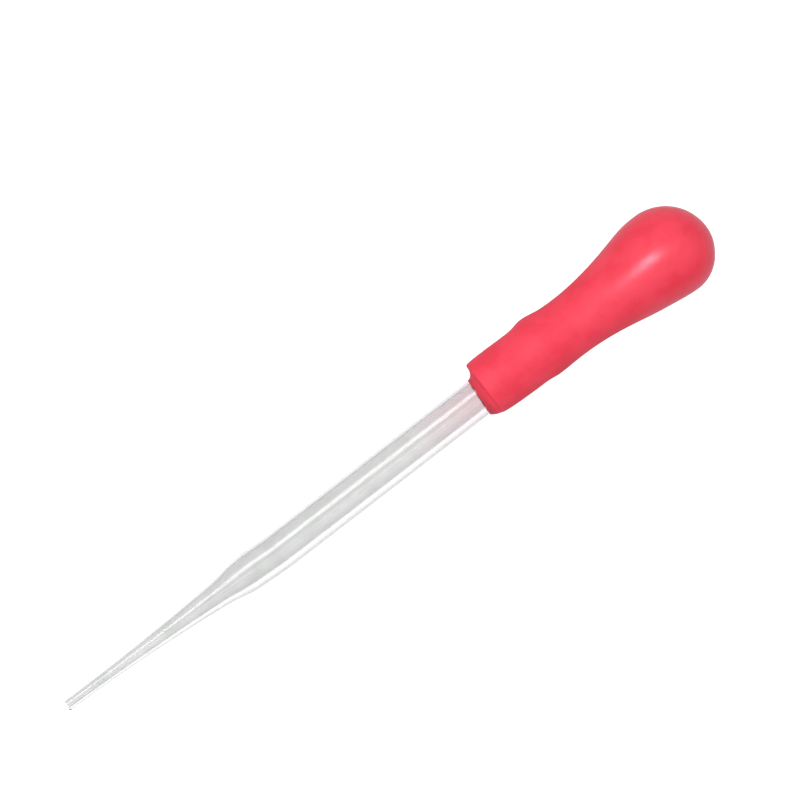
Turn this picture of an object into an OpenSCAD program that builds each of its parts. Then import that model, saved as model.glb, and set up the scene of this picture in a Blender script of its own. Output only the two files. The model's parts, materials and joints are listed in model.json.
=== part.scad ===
// Medicine dropper: a glass tube drawn out to a fine tip, with a rubber bulb pushed over its
// other end.
//
// Frame: the dropper as it lies on a table. Its underside touches Z = 0 at the bulb's belly and
// at the tube's shoulder, so its axis leans up a little from the tip, at -X, to the bulb, at +X.
// The origin is on the table, under the middle of the dropper's length.
//
// The rubber bulb is one moulding. The two walls that a thumb and a finger press in are cut out
// of it as bodies of their own, because a rigid solid can't flex. They slide in along Y.

/* [Glass tube] */
// Length of the whole tube
tube_length = 111.4; // [100:0.2:125]
// Outside diameter of the straight barrel
barrel_d = 7.4; // [6.6:0.1:8.2]
// Thickness of the barrel's wall
glass_wall = 0.9; // [0.6:0.1:1.4]
// Length of the drawn end, from the tip to the barrel
drawn_length = 43.4; // [34:0.2:52]
// Outside diameter of the tip
tip_d = 2.1; // [1.6:0.1:2.8]
// Thickness of the glass at the tip
tip_wall = 0.3; // [0.2:0.05:0.6]

/* [Rubber bulb] */
// Length from the lip to the top of the dome
bulb_length = 53.2; // [50:0.2:58]
// Outside diameter of the sleeve that grips the tube
sleeve_d = 11.8; // [11:0.1:13]
// Outside diameter of the belly
belly_d = 18; // [16.6:0.1:20]
// Distance from the lip to the widest part of the belly
belly_at = 44; // [41:0.2:46]
// Thickness of the rubber around the air chamber
chamber_wall = 1.6; // [1.2:0.1:2]
// Diameter of the passage from the tube's end to the air chamber
passage_d = 6.4; // [5:0.1:6.4]
// Depth of the tube in the bulb, from the lip
grip_depth = 15; // [11:0.2:16]
// Height of the swelling round the sleeve, over the tube's end
swelling = 0.38; // [0.1:0.02:0.8]
// Length of the hollowed lip that hugs the tube in front of the sleeve
lip_length = 1.6; // [0.8:0.1:2.4]
// Thickness of the rubber at the lip's edge
lip_wall = 0.3; // [0.25:0.05:0.6]

/* [Squeeze walls] */
// Diameter of each wall that a finger presses in
press_d = 11; // [8:0.2:11.4]
// Distance from the lip to the middle of those walls
press_at = 42.2; // [40:0.2:43]
// Gap round each wall
press_gap = 0.25; // [0.15:0.05:0.4]

/* [Hidden] */

GLASS = [0.84, 0.87, 0.86, 0.45];
RUBBER = [0.96, 0.3, 0.37];
$fn = 96;
curve_steps = 12;
corner_steps = 4;

// Glass tube
barrel_r = barrel_d / 2;
bore_r = barrel_r - glass_wall;
tip_r = tip_d / 2;
tip_bore_r = tip_r - tip_wall;
// Each edge at its ends is rounded by this share of the glass's thickness
edge_share = 0.3;
rim_round = edge_share * glass_wall;
tip_round = edge_share * tip_wall;
// The drawn end is slender up to its neck and then opens out in a short shoulder
neck_share = 0.8;
neck_at = neck_share * drawn_length;
neck_width_share = 0.575;
neck_r = tip_r + neck_width_share * (barrel_r - tip_r);
neck_slope = 0.08;
// How far its curves hold their direction at each end
tip_hold = 0.28 * drawn_length;
neck_hold = 0.26 * drawn_length;
shoulder_hold = 0.07 * drawn_length;
barrel_hold = 0.08 * drawn_length;
// The end that the bulb slides over narrows by a hair, so the bare barrel is one true cylinder
grip_taper = 0.05;
bare_margin = 1;
grip_r = barrel_r - grip_taper;

// Rubber bulb
fit_gap = 0.04;
seat_gap = 0.1;
sleeve_r = sleeve_d / 2;
sleeve_bore_r = barrel_r + fit_gap;
belly_r = belly_d / 2;
chamber_r = belly_r - chamber_wall;
dome_h = bulb_length - belly_at;
seat_at = grip_depth + seat_gap;
passage_r = passage_d / 2;
mouth_round = 0.5;
mouth_r = sleeve_r - mouth_round;
lip_r = sleeve_bore_r + lip_wall;
lip_round = 0.1;
// The swelling's crest is over the tube's end
crest_r = sleeve_r + swelling;
swelling_rise = 3.8;
swelling_fall = 5.6;
rise_at = grip_depth - swelling_rise;
waist_at = grip_depth + swelling_fall;
// How far the head's curves hold their direction at the waist and at the belly, on the outside
// and then round the air chamber
waist_to_belly = belly_at - waist_at;
waist_hold = 0.47 * waist_to_belly;
belly_hold = 0.235 * waist_to_belly;
passage_hold = 0.48 * waist_to_belly;
chamber_hold = 0.22 * waist_to_belly;

// How the dropper lies
bulb_from = tube_length - grip_depth;
bare_to = bulb_from - bare_margin;
lean = atan((belly_r - barrel_r) / (bulb_from + belly_at - drawn_length));
tip_height = barrel_r * cos(lean) - drawn_length * sin(lean);
middle = (bulb_from + bulb_length) * cos(lean) / 2;

// Outlines are lists of [radius, distance along the axis].
// A cubic curve that leaves a towards b and comes to d from c. Its points leave out a.
function curve(a, b, c, d) = [
    for (step = [1:curve_steps])
        let (t = step / curve_steps, u = 1 - t)
            u * u * u * a + 3 * u * u * t * b + 3 * u * t * t * c + t * t * t * d
];

// A stretch of an ellipse round its centre, from the angle first to the angle last
function arc(centre, half_width, half_height, first, last, steps) = [
    for (step = [0:steps])
        let (angle = first + (last - first) * step / steps)
            [centre[0] + half_width * cos(angle), centre[1] + half_height * sin(angle)]
];

function backwards(points) = [for (n = [len(points) - 1:-1:0]) points[n]];

function without_first(points) = [for (n = [1:len(points) - 1]) points[n]];

// The glass thins in proportion as it is drawn out, so the bore follows the outside
function bore_point(p) = [
    tip_bore_r + (p[0] - tip_r) * (bore_r - tip_bore_r) / (barrel_r - tip_r),
    p[1]
];

function drawn_outline() = concat(
    curve(
        [tip_r, tip_round],
        [tip_r, tip_hold],
        [neck_r - neck_slope * neck_hold, neck_at - neck_hold],
        [neck_r, neck_at]
    ),
    curve(
        [neck_r, neck_at],
        [neck_r + neck_slope * shoulder_hold, neck_at + shoulder_hold],
        [barrel_r, drawn_length - barrel_hold],
        [barrel_r, drawn_length]
    )
);

module glass_outline() {
    drawn = drawn_outline();
    rim_at = tube_length - rim_round;
    polygon(concat(
        arc([tip_r - tip_round, tip_round], tip_round, tip_round, -90, 0, corner_steps),
        drawn,
        [[barrel_r, bare_to]],
        arc([grip_r - rim_round, rim_at], rim_round, rim_round, 0, 90, corner_steps),
        arc([bore_r + rim_round, rim_at], rim_round, rim_round, 90, 180, corner_steps),
        backwards([for (p = drawn) bore_point(p)]),
        arc([tip_bore_r + tip_round, tip_round], tip_round, tip_round, 180, 270, corner_steps)
    ));
}

// The outside of the bulb, from the lip to the top of the dome
function bulb_outside() = concat(
    arc([lip_r - lip_round, lip_round], lip_round, lip_round, -90, 0, corner_steps),
    without_first(arc(
        [mouth_r, lip_round], mouth_r - lip_r, lip_length - lip_round, 180, 90, corner_steps
    )),
    without_first(arc(
        [mouth_r, lip_length + mouth_round], mouth_round, mouth_round, -90, 0, corner_steps
    )),
    [[sleeve_r, rise_at]],
    curve(
        [sleeve_r, rise_at],
        [sleeve_r, grip_depth - swelling_rise / 2],
        [crest_r, grip_depth - swelling_rise / 3],
        [crest_r, grip_depth]
    ),
    curve(
        [crest_r, grip_depth],
        [crest_r, grip_depth + swelling_fall / 3],
        [sleeve_r, grip_depth + swelling_fall / 2],
        [sleeve_r, waist_at]
    ),
    curve(
        [sleeve_r, waist_at],
        [sleeve_r, waist_at + waist_hold],
        [belly_r, belly_at - belly_hold],
        [belly_r, belly_at]
    ),
    without_first(arc([0, belly_at], belly_r, dome_h, 0, 90, curve_steps))
);

// The inside of the bulb, from the top of the air chamber back to the lip
function bulb_inside() = concat(
    arc([0, belly_at], chamber_r, dome_h - chamber_wall, 90, 0, curve_steps),
    curve(
        [chamber_r, belly_at],
        [chamber_r, belly_at - chamber_hold],
        [passage_r, waist_at + passage_hold],
        [passage_r, waist_at]
    ),
    [[passage_r, seat_at], [sleeve_bore_r, seat_at]],
    arc([sleeve_bore_r + lip_round, lip_round], lip_round, lip_round, 180, 270, corner_steps)
);

module bulb_solid() {
    rotate_extrude() polygon(concat(bulb_outside(), bulb_inside()));
}

// A round plug from the axis out through one side of the belly: side is -1 or 1
module press_plug(side, diameter) {
    translate([0, 0, press_at]) rotate([-90 * side, 0, 0]) cylinder(d = diameter, h = belly_d);
}

module press_wall(side) {
    intersection() {
        bulb_solid();
        press_plug(side, press_d);
    }
}

// Lays down a solid that stands upright, with its foot that far along the dropper from the tip
module lay_down(along = 0) {
    translate([-middle, 0, tip_height]) rotate([0, 90 - lean, 0])
        translate([0, 0, along]) children();
}

module glass_tube() {
    color(GLASS) lay_down() rotate_extrude() glass_outline();
}

module rubber_bulb() {
    color(RUBBER) lay_down(bulb_from) difference() {
        bulb_solid();
        for (side = [-1, 1]) press_plug(side, press_d + 2 * press_gap);
    }
}

module thumb_wall() {
    color(RUBBER) lay_down(bulb_from) press_wall(-1);
}

module finger_wall() {
    color(RUBBER) lay_down(bulb_from) press_wall(1);
}

glass_tube();
rubber_bulb();
thumb_wall();
finger_wall();
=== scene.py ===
import json
import math

import bmesh
import bpy
import numpy as np
from mathutils import Matrix, Vector
from mathutils.bvhtree import BVHTree


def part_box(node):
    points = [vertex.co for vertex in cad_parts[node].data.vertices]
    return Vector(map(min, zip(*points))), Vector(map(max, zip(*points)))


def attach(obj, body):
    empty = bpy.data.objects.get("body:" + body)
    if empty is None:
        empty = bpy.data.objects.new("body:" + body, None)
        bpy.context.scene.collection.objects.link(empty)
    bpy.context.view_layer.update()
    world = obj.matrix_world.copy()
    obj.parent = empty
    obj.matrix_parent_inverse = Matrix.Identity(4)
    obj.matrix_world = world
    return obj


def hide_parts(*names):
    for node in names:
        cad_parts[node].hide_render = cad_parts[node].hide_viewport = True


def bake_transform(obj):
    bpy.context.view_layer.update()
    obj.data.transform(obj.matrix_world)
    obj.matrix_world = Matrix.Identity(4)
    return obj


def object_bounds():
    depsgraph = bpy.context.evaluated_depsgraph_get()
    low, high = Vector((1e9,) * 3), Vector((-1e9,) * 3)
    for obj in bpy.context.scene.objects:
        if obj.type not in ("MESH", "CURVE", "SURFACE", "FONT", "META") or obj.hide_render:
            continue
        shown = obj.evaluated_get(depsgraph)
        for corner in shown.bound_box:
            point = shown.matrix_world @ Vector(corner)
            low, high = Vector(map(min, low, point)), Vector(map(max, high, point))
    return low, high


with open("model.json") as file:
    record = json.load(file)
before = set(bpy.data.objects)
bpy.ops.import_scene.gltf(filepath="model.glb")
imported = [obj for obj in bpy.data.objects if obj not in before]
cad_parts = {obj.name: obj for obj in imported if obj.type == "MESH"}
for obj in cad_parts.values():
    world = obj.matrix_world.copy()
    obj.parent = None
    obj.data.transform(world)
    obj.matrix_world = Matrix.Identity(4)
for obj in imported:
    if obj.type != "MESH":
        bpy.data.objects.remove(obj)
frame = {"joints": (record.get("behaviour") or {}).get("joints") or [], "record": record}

cad_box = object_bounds()

# The dropper's own axes: ALONG runs from the tip to the bulb, ACROSS from the thumb's side to the
# finger's side. Sizes are in millimetres, and radii are from the tube's axis.
MM = 0.001
JOINTS = {joint["name"]: joint for joint in frame["joints"]}
MOUNTS = {mount["name"]: mount for mount in frame["record"]["mounts"]}
ALONG = Vector(JOINTS["bulb_pull_off"]["axis"])
ACROSS = -Vector(JOINTS["finger_squeeze"]["axis"])
ABOVE = ALONG.cross(ACROSS)
LEAN = math.asin(ALONG.z)
SIDES = {"thumb_wall": -1, "finger_wall": 1}     # the way along ACROSS that each wall faces

# Glass tube. Places along it are measured from the tip.
BARREL_R = MOUNTS["tube_barrel"]["dims"]["r_mm"]
GLASS_WALL = 0.9
BORE_SHIFT = 0.35       # drawn tubing is uneven: the wall is thinner on the finger's side
TIP_R = 1.05
TIP_WALL = 0.3
TIP_BORE_R = TIP_R - TIP_WALL
TIP_ROUND = 0.09
RIM_ROUND = 0.35
TUBE_STEPS = 96         # faces round it

# The drawn end is slender up to its neck and then opens out in a short shoulder. These are shares
# of its length: where the neck is, and how far each curve holds its direction at its ends.
NECK_AT = 0.8
TIP_HOLD = 0.28
NECK_HOLD = 0.26
SHOULDER_HOLD = 0.07
BARREL_HOLD = 0.08
NECK_WIDTH = 0.575      # share of the way from the tip's radius to the barrel's
NECK_SLOPE = 0.08

# The drawn end strays to the finger's side. The stray grows from nothing to TIP_BEND at the tip,
# in proportion to a power of the way there, and eases in over the first part of it.
TIP_BEND = 1.3
BEND_FROM = 50.0
BEND_POWER = 0.75
BEND_EASE = 1 / 8
# The tip is cut unevenly, in waves of (depth, number round the tip, turn in radians)
TIP_CUTS = ((0.12, 2, 0.6), (0.1, 3, 2.0))
TIP_CUT_REACH = 1.5

# Rubber bulb. Places along it are measured from the lip.
SLEEVE_R = MOUNTS["sleeve_outside"]["dims"]["r_mm"]
MOUTH_R = 5.65          # the sleeve narrows a little towards its mouth
MOUTH_ROUND = 0.4
MOUTH_HOLD = 1.2        # how far past the mouth the sleeve's outline holds its direction
SLEEVE_HOLD_FROM = 0.6  # share of the way to the swelling where it starts to hold it again
SLEEVE_BORE_R = BARREL_R + 0.03
LIP_R = 3.8             # the lip is thin where it hugs the glass, and hollowed up to the mouth
LIP_LENGTH = 1.3
LIP_ROUND = (LIP_R - SLEEVE_BORE_R) / 2
HOLLOW_HOLD = 0.65      # share of the lip's length for which the hollow holds its direction
HOLLOW_SPREAD = 0.2     # its end at the mouth holds its own down to this far out from the lip
GRIP_DEPTH = 15.0
SEAT_GAP = 0.1
CREST_AT = 14.6         # the swelling is highest here, over the tube's end
SWELLING = 0.38
SWELLING_LEAN = 0.18    # it stands out more on the finger's side, by this much
SWELLING_SPREAD = 2.8
SWELLING_RISE = 3.8
SWELLING_FALL = 5.6
WAIST_AT = GRIP_DEPTH + SWELLING_FALL
BELLY_R = 9.0
BELLY_AT = 44.0
CHAMBER_WALL = 1.6
PASSAGE_R = 3.2
BULB_STEPS = 144        # faces round it

# How far the head's outline holds its direction at the waist and at the belly, and then that of
# the air chamber at its passage and at its widest, as shares of the way from waist to belly
WAIST_HOLD = 0.446
BELLY_HOLD = 0.286
PASSAGE_HOLD = 0.48
CHAMBER_HOLD = 0.22

# The lip is hollowed on the finger's side only: on the thumb's side it is filled out to a cone.
CONE_R = MOUTH_R - 0.1
FILLING = 0.95
LIP_FORWARD = 0.15      # how far the lip reaches down the tube
THUMB_LIP_FORWARD = 0.5     # and how much further on the thumb's side
LIP_RAGGED = 0.08

# The bulb isn't straight or even
SLEEVE_SHIFT = 0.7      # how far the sleeve's outside sits off the tube's axis at the mouth
SHIFT_FADE = 1.8        # the power with which that shift fades towards the belly
NOD = 0.23              # how far the head leans to the finger's side before the belly
NOD_AT = 40.0
NOD_SPREAD = 4
DROOP = 0.4             # and how far its top leans back again
DOME_SHORT = 0.15       # the dome ends this much lower than a full one
FLAT = 0.14             # and has a flat place on the thumb's side, this deep
FLAT_AT = -0.6          # its place and its spread, as shares of the belly's radius
FLAT_SPREAD = 0.2

# Glass and rubber alike are wavy by this share of their radius
WAVINESS = 0.004

# Where the squeezed sides begin: from the waist's surface to just beside the dome's top
DENT_FROM_R = SLEEVE_R
DENT_FROM_AT = WAIST_AT
DENT_TO_R = 0.6


def barrel_point():
    return Vector(MOUNTS["tube_barrel"]["pos_m"])


def on_axis_at_x(x):
    """The point of the dropper's axis with that x in the row frame."""
    start = barrel_point()
    return start + ALONG * ((x - start.x) / ALONG.x)


TIP = on_axis_at_x(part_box("glass_tube")[0].x + TIP_R * MM * ALONG.z)
TUBE_END = on_axis_at_x(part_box("glass_tube")[1].x)
TUBE_LENGTH = round((TUBE_END - TIP).length / MM, 1)
BULB_FROM = TUBE_LENGTH - GRIP_DEPTH
DOME_TOP = on_axis_at_x(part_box("rubber_bulb")[1].x)
BULB_LENGTH = round((DOME_TOP - TIP).length / MM - BULB_FROM, 1)
DRAWN_LENGTH = (barrel_point() - TIP).length / MM - MOUNTS["tube_barrel"]["dims"]["length_mm"] / 2


# ---------------------------------------------------------------- outlines

def cubic(a, b, c, d, steps):
    """Points of a cubic curve that leaves a towards b and comes to d from c, without a."""
    a, b, c, d = (np.array(p, float) for p in (a, b, c, d))
    t = (np.arange(steps) + 1)[:, None] / steps
    u = 1 - t
    return [tuple(p) for p in u**3 * a + 3 * u * u * t * b + 3 * u * t * t * c + t**3 * d]


def arc(centre, half_width, half_height, first, last, steps):
    """Points of an ellipse from one angle to another, in degrees."""
    angles = [math.radians(first + (last - first) * n / steps) for n in range(steps + 1)]
    return [
        (centre[0] + half_width * math.cos(a), centre[1] + half_height * math.sin(a))
        for a in angles
    ]


def rounding(centre, radius, first, last, steps):
    """Points of a circle from one angle to another, in degrees."""
    return arc(centre, radius, radius, first, last, steps)


def straight(start, end, steps):
    """Points from start to end, without start."""
    return [
        tuple(start[i] + (end[i] - start[i]) * n / steps for i in range(2))
        for n in range(1, steps + 1)
    ]


def drawn_outside():
    """(radius, along) of the drawn end, from the tip to the barrel."""
    neck_at = NECK_AT * DRAWN_LENGTH
    neck_r = TIP_R + NECK_WIDTH * (BARREL_R - TIP_R)
    slender = cubic(
        (TIP_R, TIP_ROUND),
        (TIP_R, TIP_HOLD * DRAWN_LENGTH),
        (neck_r - NECK_SLOPE * NECK_HOLD * DRAWN_LENGTH, (NECK_AT - NECK_HOLD) * DRAWN_LENGTH),
        (neck_r, neck_at),
        steps=60,
    )
    shoulder = cubic(
        (neck_r, neck_at),
        (neck_r + NECK_SLOPE * SHOULDER_HOLD * DRAWN_LENGTH,
         (NECK_AT + SHOULDER_HOLD) * DRAWN_LENGTH),
        (BARREL_R, (1 - BARREL_HOLD) * DRAWN_LENGTH),
        (BARREL_R, DRAWN_LENGTH),
        steps=30,
    )
    return slender + shoulder


def bore_radius(outside):
    """The radius of the bore where the glass has that radius outside."""
    share = (outside - TIP_R) / (BARREL_R - TIP_R)
    return TIP_BORE_R + share * (BARREL_R - GLASS_WALL - TIP_BORE_R)


def bore_point(point):
    return (bore_radius(point[0]), point[1])


def tube_outline():
    """A closed loop of (radius, along): outside from the tip, round the rim, back up the bore."""
    drawn = drawn_outside()
    bore_r = BARREL_R - GLASS_WALL
    rim_at = TUBE_LENGTH - RIM_ROUND
    barrel = straight(drawn[-1], (BARREL_R, rim_at - RIM_ROUND), steps=120)
    bore = straight((bore_r, rim_at - RIM_ROUND), bore_point(drawn[-1]), steps=60)
    return (
        rounding((TIP_R - TIP_ROUND, TIP_ROUND), TIP_ROUND, -90, 0, steps=4)[:-1]
        + [(TIP_R, TIP_ROUND)] + drawn + barrel
        + rounding((BARREL_R - RIM_ROUND, rim_at), RIM_ROUND, 0, 90, steps=6)
        + rounding((bore_r + RIM_ROUND, rim_at), RIM_ROUND, 90, 180, steps=6)
        + bore
        + [bore_point(p) for p in reversed(drawn[:-1])]
        + rounding((TIP_BORE_R + TIP_ROUND, TIP_ROUND), TIP_ROUND, 180, 270, steps=4)
    )


def sleeve_outside():
    """(radius, distance from the lip), from the lip to the start of the swelling."""
    mouth_at = LIP_LENGTH + MOUTH_ROUND
    rise_at = CREST_AT - SWELLING_RISE
    lip = rounding((LIP_R - LIP_ROUND, LIP_ROUND), LIP_ROUND, -90, 0, steps=4)
    hollow = cubic(
        lip[-1], (LIP_R, HOLLOW_HOLD * LIP_LENGTH), (LIP_R + HOLLOW_SPREAD, LIP_LENGTH),
        (MOUTH_R - MOUTH_ROUND, LIP_LENGTH), steps=20,
    )
    mouth = rounding((MOUTH_R - MOUTH_ROUND, mouth_at), MOUTH_ROUND, -90, 0, steps=6)[1:]
    sleeve = cubic(
        mouth[-1], (SLEEVE_R, mouth_at + MOUTH_HOLD), (SLEEVE_R, SLEEVE_HOLD_FROM * rise_at),
        (SLEEVE_R, rise_at), steps=30,
    )
    return lip + hollow + mouth + sleeve


def swelling_outside():
    """(radius, distance from the lip), from the start of the swelling to the waist."""
    crest_r = SLEEVE_R + SWELLING
    rise = cubic(
        (SLEEVE_R, CREST_AT - SWELLING_RISE), (SLEEVE_R, CREST_AT - SWELLING_RISE / 2),
        (crest_r, CREST_AT - SWELLING_RISE / 3), (crest_r, CREST_AT), steps=14,
    )
    fall = cubic(
        (crest_r, CREST_AT), (crest_r, CREST_AT + SWELLING_FALL / 3),
        (SLEEVE_R, CREST_AT + SWELLING_FALL / 2), (SLEEVE_R, WAIST_AT), steps=18,
    )
    return rise + fall


def head_outside():
    """(radius, distance from the lip), from the waist to the top of the dome."""
    to_belly = BELLY_AT - WAIST_AT
    head = cubic(
        (SLEEVE_R, WAIST_AT), (SLEEVE_R, WAIST_AT + WAIST_HOLD * to_belly),
        (BELLY_R, BELLY_AT - BELLY_HOLD * to_belly), (BELLY_R, BELLY_AT), steps=60,
    )
    dome = arc((0, BELLY_AT), BELLY_R, BULB_LENGTH - BELLY_AT, 0, 90, steps=40)[1:]
    return head + dome


def bulb_inside():
    """(radius, distance from the lip), from the top of the air chamber back to the lip."""
    chamber_r = BELLY_R - CHAMBER_WALL
    to_belly = BELLY_AT - WAIST_AT
    seat_at = GRIP_DEPTH + SEAT_GAP
    dome_height = BULB_LENGTH - CHAMBER_WALL - BELLY_AT
    dome = arc((0, BELLY_AT), chamber_r, dome_height, 90, 0, steps=20)
    chamber = cubic(
        (chamber_r, BELLY_AT), (chamber_r, BELLY_AT - CHAMBER_HOLD * to_belly),
        (PASSAGE_R, WAIST_AT + PASSAGE_HOLD * to_belly), (PASSAGE_R, WAIST_AT), steps=30,
    )
    passage = straight((PASSAGE_R, WAIST_AT), (PASSAGE_R, seat_at), steps=4)
    seat = [(SLEEVE_BORE_R, seat_at)]
    bore = straight((SLEEVE_BORE_R, seat_at), (SLEEVE_BORE_R, LIP_ROUND), steps=12)
    lip = rounding((SLEEVE_BORE_R + LIP_ROUND, LIP_ROUND), LIP_ROUND, 180, 270, steps=4)
    return dome + chamber + passage + seat + bore + lip


def bulb_outline():
    """An open line of (radius, distance from the lip), from the top of the dome down the outside
    to the lip, and back up the inside to the top of the air chamber."""
    outside = sleeve_outside() + swelling_outside() + head_outside()
    return list(reversed(outside)) + list(reversed(bulb_inside()))


# ---------------------------------------------------------------- shapes

def place(radius, along, angle, across=0.0):
    """Arrays in millimetres and radians to points in the row frame. Angle 0 is on top."""
    side = radius * np.sin(angle) + across
    up = radius * np.cos(angle)
    return (
        np.array(TIP)
        + along[..., None] * MM * np.array(ALONG)
        + side[..., None] * MM * np.array(ACROSS)
        + up[..., None] * MM * np.array(ABOVE)
    )


def share_of_way(value, start, end):
    """0 at start and before, 1 at end and beyond, and in proportion between them."""
    return np.clip((value - start) / (end - start), 0, 1)


def bell(value, centre, spread):
    """1 at the centre, falling away smoothly on both sides."""
    return np.exp(-(((value - centre) / spread) ** 2))


def waves(along, angle, seed, length, rounds):
    """Smooth waviness between about -1 and 1, from a few seeded sine waves. They are at least
    that long along the dropper, with at most that many rounds about it."""
    count = 6
    slowest = 0.4
    rng = np.random.default_rng(seed)
    total = np.zeros(along.shape)
    for _ in range(count):
        k = rng.uniform(slowest, 1.0) * 2 * math.pi / length
        m = rng.integers(0, rounds + 1)
        p, q = rng.uniform(0, 2 * math.pi, 2)
        total += np.sin(k * along + p) * np.cos(m * angle + q)
    return total / math.sqrt(count)


def glass_shape(radius, along, angle):
    """The drawn end strays to one side, the wall is slightly wavy and the tip is cut unevenly."""
    drawn = share_of_way(along, BEND_FROM, 0)
    bend = TIP_BEND * drawn**BEND_POWER * np.clip(drawn / BEND_EASE, 0, 1)
    outside = np.interp(along, *zip(*((at, r) for r, at in drawn_outside())))
    depth = np.clip((outside - radius) / (outside - bore_radius(outside)), 0, 1)
    bore_shift = BORE_SHIFT * depth * outside / BARREL_R
    wavy = radius * (1 + WAVINESS * waves(along, angle, seed=3, length=30.0, rounds=2))
    cuts = sum(deep * np.sin(angle * number + turn) for deep, number, turn in TIP_CUTS)
    uneven = share_of_way(along, TIP_CUT_REACH, 0) ** 2 * cuts
    return place(wavy, along + uneven, angle, bend + bore_shift)


def towards_thumb(angle):
    """1 on the thumb's side of the dropper and 0 on the finger's side."""
    return 0.5 - 0.5 * np.sin(angle)


def bulb_shift(off_bore, along):
    """How far the rubber lies off the tube's axis, to the finger's side. Its bore lies on the
    axis as far as the tube reaches, and so does the lip's edge."""
    off_axis = np.where(
        off_bore, share_of_way(along, 0, LIP_LENGTH) ** 2,
        share_of_way(along, GRIP_DEPTH, WAIST_AT),
    )
    shift = off_axis * SLEEVE_SHIFT * share_of_way(along, BELLY_AT, LIP_LENGTH) ** SHIFT_FADE
    shift += NOD * bell(along, NOD_AT, NOD_SPREAD)
    return shift - DROOP * share_of_way(along, BELLY_AT, BULB_LENGTH)


def bulb_filling(off_bore, radius, along, angle):
    """How far the rubber stands out past its outline: the lip is filled on the thumb's side, and
    the swelling leans to the finger's side."""
    cone = LIP_R + (CONE_R - LIP_R) * share_of_way(along, 0, LIP_LENGTH)
    hollow = np.maximum(cone, radius) - radius
    in_lip = off_bore & (along <= LIP_LENGTH)
    filled = np.where(in_lip, FILLING * towards_thumb(angle) * hollow, 0.0)
    swelling = bell(along, CREST_AT, SWELLING_SPREAD) * off_bore
    return filled + SWELLING_LEAN * swelling * np.sin(angle)


def bulb_lengthening(radius, along, angle):
    """How far the rubber moves along the dropper: the lip's edge reaches unevenly down the tube,
    and the dome is short, with a flat place."""
    near_lip = 1 - share_of_way(along, 0, LIP_LENGTH)
    forward = -LIP_FORWARD - THUMB_LIP_FORWARD * towards_thumb(angle)
    ragged = LIP_RAGGED * waves(0 * along, angle, seed=5, length=26.0, rounds=9)
    edge = near_lip * (forward + ragged)
    flat = FLAT * bell(radius * np.sin(angle) / BELLY_R, FLAT_AT, FLAT_SPREAD)
    return edge - share_of_way(along, BELLY_AT, BULB_LENGTH) * (DOME_SHORT + flat)


def rubber_shape(radius, along, angle):
    """The bulb's small irregularities: it sits off the tube's axis, nods and droops, its lip is
    hollow on one side only, its dome is a little flat, and it is slightly wavy."""
    off_bore = radius > LIP_R - LIP_ROUND       # not the bore, passage or middle of the dome
    moved = along + bulb_lengthening(radius, along, angle)
    wavy = WAVINESS * waves(along, angle, seed=11, length=26.0, rounds=3)
    swollen = radius * (1 + np.where(off_bore, wavy, 0.0))
    filled = swollen + bulb_filling(off_bore, radius, along, angle)
    return place(filled, moved + BULB_FROM, angle, bulb_shift(off_bore, along))


# ---------------------------------------------------------------- meshes

def revolved(name, outline, steps, shape, closed):
    """A mesh from an outline swept once round the axis in that many steps. shape(radius, along,
    angle) gives the points. A closed outline is a loop; an open one begins and ends on the axis."""
    weld = 0.001 * MM
    radius, along = (np.array(values)[:, None] for values in zip(*outline))
    angle = np.arange(steps)[None, :] * 2 * math.pi / steps
    radius, along, angle = np.broadcast_arrays(radius, along, angle)
    points = shape(radius, along, angle)
    rows = len(outline)
    bm = bmesh.new()
    rings = [[bm.verts.new(points[row, step]) for step in range(steps)] for row in range(rows)]
    last = rows if closed else rows - 1
    for row in range(last):
        here, there = rings[row], rings[(row + 1) % rows]
        for step in range(steps):
            after = (step + 1) % steps
            bm.faces.new((here[step], here[after], there[after], there[step]))
    bmesh.ops.remove_doubles(bm, verts=bm.verts, dist=weld)
    bmesh.ops.recalc_face_normals(bm, faces=bm.faces)
    for face in bm.faces:
        face.smooth = True
    return finished(bm, name)


def finished(bm, name):
    """The mesh of that name that a bmesh holds. It frees the bmesh."""
    mesh = bpy.data.meshes.new(name)
    bm.to_mesh(mesh)
    bm.free()
    return mesh


def cut_away(bm, point, normal, keep):
    """Cuts a mesh with a plane, keeps what lies on that side of it and closes the cut."""
    parts = bm.verts[:] + bm.edges[:] + bm.faces[:]
    cut = bmesh.ops.bisect_plane(
        bm, geom=parts, plane_co=point, plane_no=normal * keep, clear_inner=True)
    edges = [part for part in cut["geom_cut"] if isinstance(part, bmesh.types.BMEdge)]
    filled = bmesh.ops.triangle_fill(bm, edges=edges, use_beauty=True, use_dissolve=False)
    for part in filled["geom"]:
        if isinstance(part, bmesh.types.BMFace):
            part.smooth = False


def shading_normal(whole, tree, corner, face_middle):
    """The whole mesh's smooth normal at a corner, from the face of it that the corner lies in."""
    into_face = 0.02    # the search starts this share of the way in, to stay off the edges
    tiny = 1e-7         # metres, so that no weight is infinite
    _, _, hit, _ = tree.find_nearest(corner.lerp(face_middle, into_face))
    normal = Vector()
    for index in whole.polygons[hit].vertices:
        vertex = whole.vertices[index]
        normal += vertex.normal * (1 / ((vertex.co - corner).length + tiny))
    return normal.normalized()


def smooth_as(mesh, whole):
    """Gives a cut mesh the shading of the whole one, so that no seam shows where it was cut."""
    tree = BVHTree.FromPolygons(
        [v.co for v in whole.vertices], [tuple(p.vertices) for p in whole.polygons])
    keep_flat = (0, 0, 0)
    normals = []
    for face in mesh.polygons:
        for index in face.vertices:
            corner = mesh.vertices[index].co
            if face.use_smooth:
                normals.append(shading_normal(whole, tree, corner, face.center))
            else:
                normals.append(keep_flat)
    mesh.normals_split_custom_set(normals)


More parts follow.
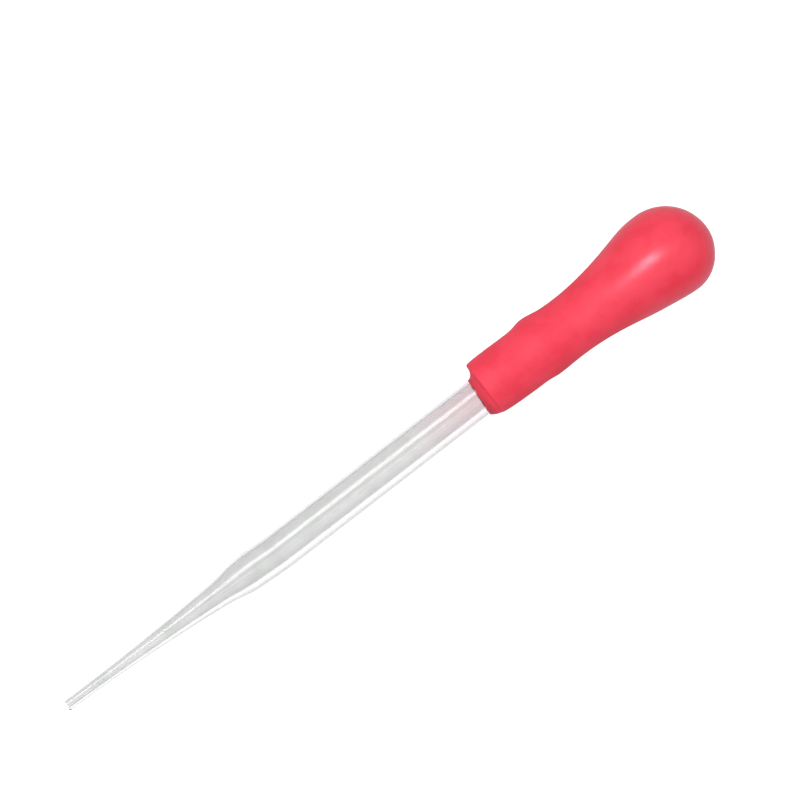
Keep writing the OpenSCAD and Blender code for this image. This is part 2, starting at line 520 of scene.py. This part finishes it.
def cut_copy(whole, name, cuts):
    """A copy of the whole mesh after cuts, each of them (point, normal, side to keep)."""
    bm = bmesh.new()
    bm.from_mesh(whole)
    for point, normal, keep in cuts:
        cut_away(bm, point, normal, keep)
    mesh = finished(bm, name)
    smooth_as(mesh, whole)
    return mesh


def shown(name, data):
    """A new object in the scene."""
    new = bpy.data.objects.new(name, data)
    bpy.context.scene.collection.objects.link(new)
    return new


def added(name, mesh, material):
    """A new piece of the dropper, with that material in its slot."""
    piece = shown(name, mesh)
    mesh.materials.append(material)
    return piece


# ---------------------------------------------------------------- materials

def linear(red, green, blue):
    """An sRGB colour from 0 to 255, as the linear colour that shaders take."""
    def one(value):
        value /= 255
        return value / 12.92 if value <= 0.04045 else ((value + 0.055) / 1.055) ** 2.4
    return (one(red), one(green), one(blue), 1.0)


class Nodes:
    """A new material with a Principled shader, and short calls that add nodes to it."""

    def __init__(self, name):
        self.material = bpy.data.materials.new(name)
        self.material.use_nodes = True
        self.tree = self.material.node_tree
        self.shader = self.tree.nodes["Principled BSDF"]
        self.coordinates = self.add("ShaderNodeTexCoord").outputs["Object"]

    def add(self, kind, **values):
        node = self.tree.nodes.new(kind)
        for name, value in values.items():
            setattr(node, name, value)
        return node

    def link(self, output, socket):
        self.tree.links.new(output, socket)

    def feed(self, name, output):
        """Links an output to the shader's socket of that name."""
        self.link(output, self.shader.inputs[name])

    def constant(self, name, value):
        """Sets the shader's socket of that name to what is the same all over the surface."""
        self.shader.inputs[name].default_value = value

    def stretched(self, stretch):
        """Object coordinates shrunk along X, which is the dropper's axis but for its lean, and
        then turned by the lean. Noise in them is drawn out into streaks."""
        mapping = self.add("ShaderNodeMapping")
        mapping.inputs["Rotation"].default_value = (0, LEAN, 0)
        mapping.inputs["Scale"].default_value = (1 / stretch, 1, 1)
        self.link(self.coordinates, mapping.inputs["Vector"])
        return mapping.outputs["Vector"]

    def distance(self, direction):
        """How far a point lies in that direction from the origin, in metres."""
        dot = self.add("ShaderNodeVectorMath", operation="DOT_PRODUCT")
        dot.inputs[1].default_value = direction
        self.link(self.coordinates, dot.inputs[0])
        return dot.outputs["Value"]

    def sum(self, first, second):
        node = self.add("ShaderNodeMath", operation="ADD")
        self.link(first, node.inputs[0])
        self.link(second, node.inputs[1])
        return node.outputs["Value"]

    def noise(self, size, detail=2.0, roughness=0.5, vector=None):
        """Noise whose features are about size metres across."""
        node = self.add("ShaderNodeTexNoise")
        node.inputs["Scale"].default_value = 1 / size
        node.inputs["Detail"].default_value = detail
        node.inputs["Roughness"].default_value = roughness
        self.link(vector or self.coordinates, node.inputs["Vector"])
        return node.outputs["Fac"]

    def range(self, value, between, becomes=(0, 1)):
        """A value between two numbers becomes one between two others, smoothly and clamped."""
        node = self.add("ShaderNodeMapRange", interpolation_type="SMOOTHSTEP")
        for socket, number in zip(node.inputs[1:5], (*between, *becomes)):
            socket.default_value = number
        self.link(value, node.inputs["Value"])
        return node.outputs["Result"]

    def mix(self, share, first, second):
        """first and second are colours or sockets; share is a socket from 0 to 1."""
        node = self.add("ShaderNodeMix", data_type="RGBA")
        self.link(share, node.inputs["Factor"])
        for name, colour in (("A", first), ("B", second)):
            socket = [s for s in node.inputs if s.name == name and s.type == "RGBA"][0]
            if isinstance(colour, bpy.types.NodeSocket):
                self.link(colour, socket)
            else:
                socket.default_value = colour
        return [s for s in node.outputs if s.type == "RGBA"][0]

    def bump(self, height, depth, before=None):
        """A bump of that depth in metres."""
        node = self.add("ShaderNodeBump")
        node.inputs["Strength"].default_value = 1.0
        node.inputs["Distance"].default_value = depth
        self.link(height, node.inputs["Height"])
        if before is not None:
            self.link(before, node.inputs["Normal"])
        return node.outputs["Normal"]


CORAL = linear(238, 52, 72)
LIGHT_CORAL = linear(245, 62, 82)
PALE_DUST = linear(248, 92, 106)
DARK_SPECK = linear(196, 46, 62)
# painted shade: the colour that darkens the lip
LIP_SHADE_COLOUR = linear(170, 40, 48)
HAZY_GLASS = linear(225, 226, 224)
CLEAR_GLASS = linear(231, 231, 231)
# painted reflection: the pink of the rubber's red light seen in the glass
PAINTED_PINK_BOUNCE = linear(230, 220, 221)
# partly painted shade: the grey that the glass's slanting edges darken to
GLASS_EDGE_SHADE = linear(170, 171, 171)
PAPER = linear(200, 200, 200)
LIGHT_PAPER = linear(202, 202, 202)
WHITE = linear(255, 255, 255)


def past_lip(start, end):
    """Two distances from the bulb's lip, as distances along the axis from the row's origin."""
    return tuple(TIP.dot(ALONG) + (BULB_FROM + at) * MM for at in (start, end))


# Stretches of the dropper over which its surface changes
PAINTED_LIP_SHADE = past_lip(-0.2, LIP_LENGTH)                 # painted shade: the rubber is darkest at the lip's edge, beside the glass
PAINTED_RED_BOUNCE = past_lip(-22, 2)                            # painted reflection: the glass is tinted with the rubber's red near the bulb
SHEEN = past_lip(WAIST_AT + 6, WAIST_AT + 18)       # the rubber begins to shine


def rubber_colour(n):
    """Coral, with faint mottling, pale dust, dark specks and painted shade at the lip."""
    mottle = n.range(n.noise(5 * MM, detail=3), between=(0.35, 0.65))
    colour = n.mix(mottle, CORAL, LIGHT_CORAL)
    dust_noise = n.noise(1.6 * MM, detail=4, roughness=0.65)
    dust = n.range(dust_noise, between=(0.58, 0.78), becomes=(0, 0.3))
    colour = n.mix(dust, colour, PALE_DUST)
    specks = n.range(n.noise(0.9 * MM, detail=1), between=(0.17, 0.21), becomes=(0.4, 0))
    colour = n.mix(specks, colour, DARK_SPECK)
    # painted shade: the rubber darkens towards the lip's edge, in the hollow beside the glass
    painted_lip_shade = n.range(n.distance(ALONG), between=PAINTED_LIP_SHADE, becomes=(0.55, 0))
    return n.mix(painted_lip_shade, colour, LIP_SHADE_COLOUR)


def rubber_material():
    """Coral rubber: satin on the bulb and dull on the sleeve, with faint mottling and dust."""
    n = Nodes("coral_rubber")
    n.feed("Base Color", rubber_colour(n))
    satin = n.range(n.noise(2.5 * MM, detail=4), between=(0.3, 0.7), becomes=(0.278, 0.3))
    dull = n.range(n.distance(ALONG), between=SHEEN, becomes=(0.3, 0))
    n.feed("Roughness", n.sum(satin, dull))
    n.constant("IOR", 1.5)
    n.constant("Specular IOR Level", 0.45)
    n.constant("Subsurface Weight", 0.1)
    n.constant("Subsurface Radius", (1.0, 0.3, 0.25))
    n.constant("Subsurface Scale", 0.6 * MM)
    uneven = n.bump(n.noise(3 * MM, detail=2), depth=0.05 * MM)
    grain = n.noise(0.35 * MM, detail=3)
    n.feed("Normal", n.bump(grain, depth=0.005 * MM, before=uneven))
    return n.material


def glass_colour(n):
    """Clear and a little grey, faintly hazy, with a painted pink reflection of the bulb and edges
    darkened by painted shade and by the longer path through them.
    """
    haze = n.range(n.noise(4 * MM, detail=3), between=(0.3, 0.7))
    colour = n.mix(haze, HAZY_GLASS, CLEAR_GLASS)
    # painted reflection: pink towards the bulb, in place of red light bounced off the rubber
    painted_red_bounce = n.range(n.distance(ALONG), between=PAINTED_RED_BOUNCE)
    colour = n.mix(painted_red_bounce, colour, PAINTED_PINK_BOUNCE)
    # darker where the glass is seen at a slant: partly the longer path through it, partly painted
    # shade
    weight = n.add("ShaderNodeLayerWeight")
    weight.inputs["Blend"].default_value = 0.5
    edge = n.range(weight.outputs["Facing"], between=(0.2, 0.6))
    return n.mix(edge, colour, GLASS_EDGE_SHADE)


def glass_material():
    """Drawn glass, with fine lines along its length that show in its gloss and its surface."""
    n = Nodes("drawn_glass")
    lengthwise = n.stretched(stretch=25)
    n.feed("Base Color", glass_colour(n))
    streaks = n.noise(1.2 * MM, detail=3, roughness=0.6, vector=lengthwise)
    n.feed("Roughness", n.range(streaks, between=(0.3, 0.7), becomes=(0.06, 0.13)))
    n.constant("IOR", 1.5)
    n.constant("Transmission Weight", 1.0)
    lines = n.noise(0.8 * MM, detail=3, roughness=0.6, vector=lengthwise)
    n.feed("Normal", n.bump(lines, depth=0.004 * MM))
    return n.material


def floor_material():
    """Pale paper that gives out light of its own."""
    n = Nodes("pale_floor")
    paper = n.range(n.noise(2 * MM, detail=2), between=(0.3, 0.7))
    n.feed("Base Color", n.mix(paper, PAPER, LIGHT_PAPER))
    n.constant("Roughness", 0.9)
    n.constant("Specular IOR Level", 0.1)
    n.constant("Emission Color", WHITE)
    n.constant("Emission Strength", 0.85)
    return n.material


# ---------------------------------------------------------------- pieces

def make_tube():
    mesh = revolved("tube", tube_outline(), TUBE_STEPS, glass_shape, closed=True)
    tube = added("drawn_glass_tube", mesh, glass_material())
    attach(tube, "tube")
    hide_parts("glass_tube")
    return tube


def dent_plane(side):
    """(a point, the normal away from the axis) of the plane where that side's dent begins."""
    start = place(np.array(DENT_FROM_R), np.array(BULB_FROM + DENT_FROM_AT),
                  side * math.pi / 2)
    run = BULB_LENGTH - DENT_FROM_AT
    drop = DENT_FROM_R - DENT_TO_R
    normal = (ACROSS * side * run + ALONG * drop).normalized()
    return Vector(start), normal


def make_body(whole, material, planes):
    """The bulb without the two sides that are squeezed."""
    mesh = cut_copy(whole, "bulb_body", [(*plane, -1) for plane in planes])
    body = added("rubber_bulb_skin", mesh, material)
    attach(body, "bulb")
    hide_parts("rubber_bulb")
    return body


def make_side(whole, material, name, plane):
    """A squeezed side: a copy of the bulb cut at that side's dent plane, kept in the row frame."""
    point, normal = plane
    mesh = cut_copy(whole, name + "_skin", [(point, normal, 1)])
    piece = added(name + "_skin", mesh, material)
    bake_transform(piece)
    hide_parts(name)
    return piece


def make_bulb():
    whole = revolved("bulb", bulb_outline(), BULB_STEPS, rubber_shape, closed=False)
    material = rubber_material()
    planes = {name: dent_plane(side) for name, side in SIDES.items()}
    body = make_body(whole, material, planes.values())
    return [body] + [make_side(whole, material, name, planes[name]) for name in SIDES]


# ---------------------------------------------------------------- stage

PHOTO_AZIMUTH = math.radians(-37.5)
PHOTO_ELEVATION = math.radians(85)
FRAME_WIDTH = 149.8 * MM        # what the picture's width takes in at the object
RIGHT_OF_CENTRE = -2.2 * MM     # where the object's middle lies in the picture
ABOVE_CENTRE = -12.6 * MM
LENS = 120
NEAREST_SEEN = 10 * MM

HORIZON = linear(140, 141, 144)
OVERHEAD = linear(250, 251, 253)
SKY_STRENGTH = 1.15
BRIGHT_SIDE = math.radians(8)   # the sky's brightest point leans this far to the finger's side

LIGHT_DISTANCE = 0.6
FLOOR_HALF_WIDTH = 1.5
FLOOR_SQUARES = 8


def make_camera():
    a, e = PHOTO_AZIMUTH, PHOTO_ELEVATION
    back = Vector((math.sin(a) * math.cos(e), -math.cos(a) * math.cos(e), math.sin(e)))
    right = Vector((math.cos(a), math.sin(a), 0))
    up = back.cross(right)
    data = bpy.data.cameras.new("camera")
    data.lens = LENS
    data.clip_start = NEAREST_SEEN
    distance = FRAME_WIDTH * data.lens / data.sensor_width
    middle = (TIP + DOME_TOP) / 2
    camera = shown("camera", data)
    camera.location = middle + back * distance - right * RIGHT_OF_CENTRE - up * ABOVE_CENTRE
    camera.rotation_mode = "QUATERNION"
    camera.rotation_quaternion = back.to_track_quat("Z", "Y")
    bpy.context.scene.camera = camera


def make_world():
    """A plain room: grey round the horizon and nearly white overhead."""
    world = bpy.data.worlds.new("studio")
    world.use_nodes = True
    tree = world.node_tree
    background = tree.nodes["Background"]
    coordinates = tree.nodes.new("ShaderNodeTexCoord")
    tilt = tree.nodes.new("ShaderNodeMapping")
    tilt.inputs["Rotation"].default_value = (BRIGHT_SIDE, 0, 0)
    split = tree.nodes.new("ShaderNodeSeparateXYZ")
    ramp = tree.nodes.new("ShaderNodeValToRGB")
    ramp.color_ramp.elements[0].color = HORIZON
    ramp.color_ramp.elements[1].color = OVERHEAD
    background.inputs["Strength"].default_value = SKY_STRENGTH
    tree.links.new(coordinates.outputs["Generated"], tilt.inputs["Vector"])
    tree.links.new(tilt.outputs["Vector"], split.inputs["Vector"])
    tree.links.new(split.outputs["Z"], ramp.inputs["Fac"])
    tree.links.new(ramp.outputs["Color"], background.inputs["Color"])
    bpy.context.scene.world = world


def make_floor():
    bm = bmesh.new()
    bmesh.ops.create_grid(
        bm, x_segments=FLOOR_SQUARES, y_segments=FLOOR_SQUARES, size=FLOOR_HALF_WIDTH)
    mesh = finished(bm, "floor")
    mesh.materials.append(floor_material())
    floor = shown("floor", mesh)
    floor.location.z = cad_box[0].z
    return floor


def light_only(light, pieces):
    """The light of a lamp, or of a floor that gives out light, falls on those pieces only."""
    group = bpy.data.collections.new(light.name + "_lights")
    for piece in pieces:
        group.objects.link(piece)
    light.light_linking.receiver_collection = group


def make_light(name, direction, size, radiance, lit, colour=(1, 1, 1)):
    """A softbox of size (width, height), seen in that direction, that lights only those pieces.
    Its width lies along the dropper."""
    direction = Vector(direction).normalized()
    width, height = size
    data = bpy.data.lights.new(name, "AREA")
    data.shape = "RECTANGLE"
    data.size = width
    data.size_y = height
    data.energy = radiance * math.pi * width * height
    data.color = colour
    light = shown(name, data)
    light.location = direction * LIGHT_DISTANCE
    light.rotation_mode = "QUATERNION"
    wide = (ALONG - direction * ALONG.dot(direction)).normalized()
    turned = Matrix((wide, direction.cross(wide), direction)).transposed()
    light.rotation_quaternion = turned.to_quaternion()
    light_only(light, lit)


bpy.context.scene.view_settings.view_transform = "Standard"
make_camera()
make_world()
tube = make_tube()
bulb = make_bulb()
floor = make_floor()
light_only(floor, [tube])
make_light(
    "key", direction=(-0.15, 0.09, 0.98), size=(0.045, 0.2), radiance=43.0,
    lit=bulb + [floor], colour=(0.9, 0.8, 1.0),
)
make_light(
    "upper_streak", direction=(0, 0.49, 0.87), size=(0.9, 0.2), radiance=6.0, lit=[tube],
)
